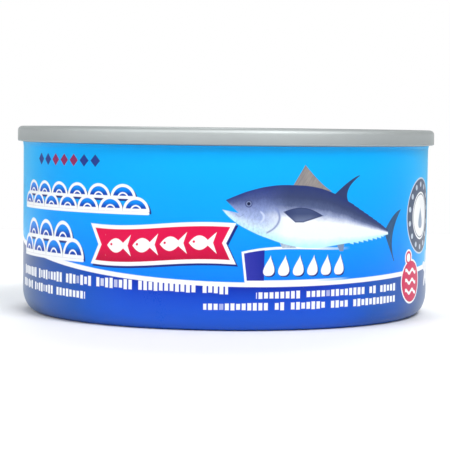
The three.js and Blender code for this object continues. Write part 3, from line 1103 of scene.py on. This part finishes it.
# Painted shade: the seam's tint darkens, most near its foot.
near_foot = tinplate.fade(up - seam_foot, *SEAM_PAINTED_SHADE_HEIGHTS)
seam_painted_shade = on_seam * (near_foot * (SEAM_PAINTED_SHADE[1] - SEAM_PAINTED_SHADE[0]) + SEAM_PAINTED_SHADE[0])
score = on_panel * (abs(from_axis - SCORE_RADIUS) < SCORE_WIDTH * 0.6)
tint = tinplate.mix(grain, linear(206, 212, 212), linear(224, 229, 229))
tint = tinplate.mix(clouds * 0.35, tint, linear(186, 192, 194))
# Painted shade in the score line's groove: its tint is darker there.
tint = tinplate.mix(score * 0.5, tint, linear(120, 124, 126))
tint = tinplate.mix(seam_painted_shade, tint, linear(160, 167, 168))
tinplate.shade(
    base_color=tint,
    metallic=1.0,
    roughness=grain * 0.12 + clouds * 0.1 + dull_spots * 0.08 + on_seam * SEAM_DULLNESS + 0.26,
    normal=tinplate.bump(grain + clouds * 2, 0.00006, 0.35),
)
end = finished("easy_open_end_plate", end_mesh, tinplate)
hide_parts("easy_open_end")
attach(end, "root")

# Rivet
# Drawn up out of the end's own sheet through the ring pull, then flattened to a head with a
# shallow dimple. Its boss carries the pull.
RIVET_Y = 33.0
RIVET_STEPS = 64
BOSS_RADIUS = 3.9
BOSS_TOP_RADIUS = 3.1
BOSS_ROOT = 0.2
SHANK_RADIUS = 1.6
HEAD_RADIUS = 2.7
HEAD_HEIGHT = 0.6
DIMPLE_RADIUS = 1.2
DIMPLE_DEPTH = 0.28
TONGUE_THICKNESS = 0.5
pull_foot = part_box("ring_pull")[0].z / MM
pull_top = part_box("ring_pull")[1].z / MM
boss_top = pull_foot - CLEARANCE
head_foot = pull_foot + TONGUE_THICKNESS + CLEARANCE
head_top = head_foot + HEAD_HEIGHT
head_round = HEAD_HEIGHT / 2
rivet_mesh = turned([
    (0, panel_middle - BOSS_ROOT),
    (BOSS_RADIUS, panel_middle - BOSS_ROOT),
    *slope((BOSS_RADIUS, panel_middle - 0.02), (BOSS_TOP_RADIUS, boss_top), 5),
    (SHANK_RADIUS, boss_top),
    (SHANK_RADIUS, head_foot),
    *arc(HEAD_RADIUS - head_round, head_foot + head_round, head_round, head_round, -90, 90, 10),
    (DIMPLE_RADIUS, head_top),
    *arc(0, head_top, DIMPLE_RADIUS, DIMPLE_DEPTH, 0, -90, 8)[:-1],
    (0, head_top - DIMPLE_DEPTH),
], RIVET_STEPS, (0, RIVET_Y))
rivet = finished("rivet", rivet_mesh, tinplate)
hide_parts("easy_open_end")
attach(rivet, "root")

# Ring pull
# Stamped from aluminium strip, its outer edge and finger hole curled under to a round rim. The
# rivet holds it by a sunk tongue, which a curved slit leaves free to bend.
NOSE_RADIUS = 6.0
NOSE_CENTRE = -0.6
RING_RADIUS = 8.0
RING_CENTRE = -13.1
HOLE_HALF_WIDTH = 5.9
HOLE_HALF_LENGTH = 5.2
HOLE_CENTRE = -13.4
POCKET_RADIUS = 4.0
RIVET_HOLE_RADIUS = 1.9
CURL_RADIUS = 0.5
CURL_ANGLES = (40, 320)
WEB_INSET = 0.95
WEB_TOP = 0.92
WEB_FOOT = 0.38
SLIT_RADIUS = 3.35
SLIT_HALF_WIDTH = 0.16
SLIT_END = 1.6
pull_lean = math.degrees(math.asin((RING_RADIUS - NOSE_RADIUS) / (NOSE_CENTRE - RING_CENTRE)))


def pull_edge(inset):
    nose = NOSE_RADIUS - inset
    ring = RING_RADIUS - inset
    return [
        *arc(0, NOSE_CENTRE, nose, nose, pull_lean - 6, 180 - pull_lean, 31),
        *arc(0, RING_CENTRE, ring, ring, 174 - pull_lean, 360 + pull_lean, 34),
    ]


def finger_hole(inset):
    return arc(0, HOLE_CENTRE, HOLE_HALF_WIDTH + inset, HOLE_HALF_LENGTH + inset, 0, 360, 64)


def round_hole(radius):
    return arc(0, 0, radius, radius, 0, 360, 48)


def loop(mesh, spots, height):
    """A closed loop of edges, from places about the rivet and a height above the pull's foot."""
    z = (pull_foot + height) * MM
    corners = [mesh.verts.new((x * MM, (RIVET_Y + y) * MM, z)) for x, y in spots]
    return [mesh.edges.new(pair) for pair in zip(corners, corners[1:] + corners[:1])]


def skinned(mesh, shape, section):
    """Bridges a loop of the shape for each inset and height. Returns the first and last."""
    loops = [loop(mesh, shape(inset), height) for inset, height in section]
    for here, after in zip(loops, loops[1:]):
        bmesh.ops.bridge_loops(mesh, edges=here + after)
    return loops[0], loops[-1]


curl_height = (pull_top - pull_foot) / 2
curl = [
    (WEB_INSET, WEB_TOP),
    *arc(CURL_RADIUS, curl_height, CURL_RADIUS, curl_height, *CURL_ANGLES, 16),
    (WEB_INSET, WEB_FOOT),
]
pocket = [
    (POCKET_RADIUS, WEB_TOP),
    (POCKET_RADIUS - 0.15, WEB_TOP - 0.12),
    (POCKET_RADIUS - 0.25, TONGUE_THICKNESS),
    (RIVET_HOLE_RADIUS, TONGUE_THICKNESS),
    (RIVET_HOLE_RADIUS, 0.0),
    (POCKET_RADIUS - 0.1, 0.0),
    (POCKET_RADIUS + 0.1, WEB_FOOT),
]
pull_mesh = bmesh.new()
skins = [
    skinned(pull_mesh, pull_edge, curl),
    skinned(pull_mesh, finger_hole, curl),
    skinned(pull_mesh, round_hole, pocket),
]
for web_edges in zip(*skins):
    bmesh.ops.triangle_fill(pull_mesh, edges=sum(web_edges, []), use_beauty=True, normal=(0, 0, 1))

aluminium = Finish("aluminium")
where, px, py, up = aluminium.place()
from_rivet = (px * px + (py - RIVET_Y) * (py - RIVET_Y)) ** 0.5
# The slit is not cut: painted shade makes it a dark, less metallic line, with a sunk bump.
slit = (abs(from_rivet - SLIT_RADIUS) < SLIT_HALF_WIDTH) * (py < RIVET_Y + SLIT_END)
slit = slit * (up < pull_foot + WEB_TOP)
brushed = aluminium.noise(aluminium.vector(px * 6, py * 0.25, up * 2), 1.0, 3.0, 0.6)
clouds = aluminium.noise(where, 0.3, 3.0, 0.55)
tint = aluminium.mix(brushed, linear(198, 203, 203), linear(218, 223, 223))
tint = aluminium.mix(clouds * 0.3, tint, linear(178, 182, 186))
tint = aluminium.mix(slit, tint, linear(34, 36, 38))
aluminium.shade(
    base_color=tint,
    metallic=1 - slit * 0.6,
    roughness=brushed * 0.1 + clouds * 0.12 + 0.2,
    normal=aluminium.bump(brushed + clouds * 2 - slit * 8, 0.00006, 0.35),
)
pull = finished("ring_pull_tab", pull_mesh, aluminium)
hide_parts("ring_pull")
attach(pull, "root")

# The sizes of the solids and of the visual model
sizes = {
    "cad": [list(corner) for corner in cad_box],
    "visual": [list(corner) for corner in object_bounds()],
}
